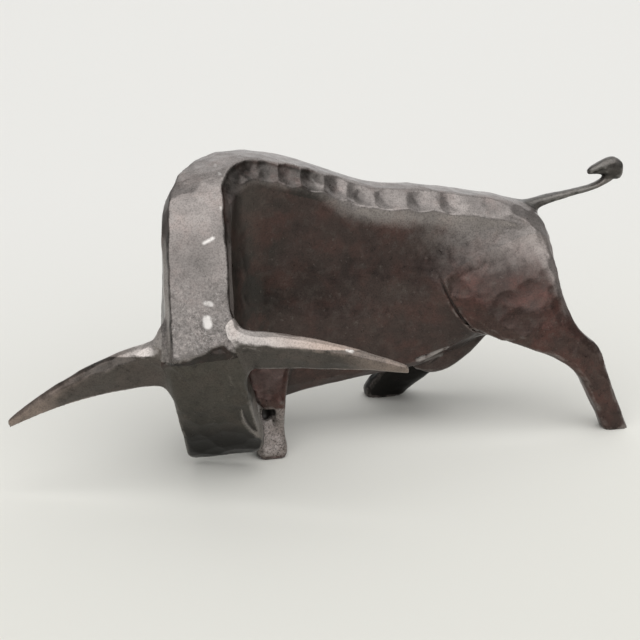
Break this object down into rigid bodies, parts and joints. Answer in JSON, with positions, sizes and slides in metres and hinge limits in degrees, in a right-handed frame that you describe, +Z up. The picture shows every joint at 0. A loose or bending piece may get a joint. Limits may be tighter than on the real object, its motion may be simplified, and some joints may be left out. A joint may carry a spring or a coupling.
{
  "type": "iron bull sculpture",
  "caption": "Hammered iron table bull with its head down and turned, wide crescent horns, splayed legs and a rolled rod tail.",
  "frame": {"origin": "on the floor, under the middle of the bounding box", "axes": "+X from the shoulders to the rump, +Z up; the bull's left flank faces -Y and its head is turned toward -Y"},
  "size_m": [0.2722, 0.1258, 0.1263],
  "materials": {
    "trunk_iron": "hammered dark iron with a waxed brown-red bloom and grey worn edges",
    "head_iron": "dark olive grey forge scale",
    "horn_iron": "hammered grey iron, worn bright toward the tips",
    "leg_iron": "hammered dark iron with red-brown patches",
    "tail_iron": "grey drawn-out rod"
  },
  "bodies": {
    "root": {"trunk": "trunk_iron", "head": "head_iron", "left_horn": "horn_iron", "right_horn": "horn_iron", "front_left_leg": "leg_iron", "front_right_leg": "leg_iron", "hind_left_leg": "leg_iron", "hind_right_leg": "leg_iron", "sheath": "trunk_iron", "tail": "tail_iron"}
  },
  "joints": []
}
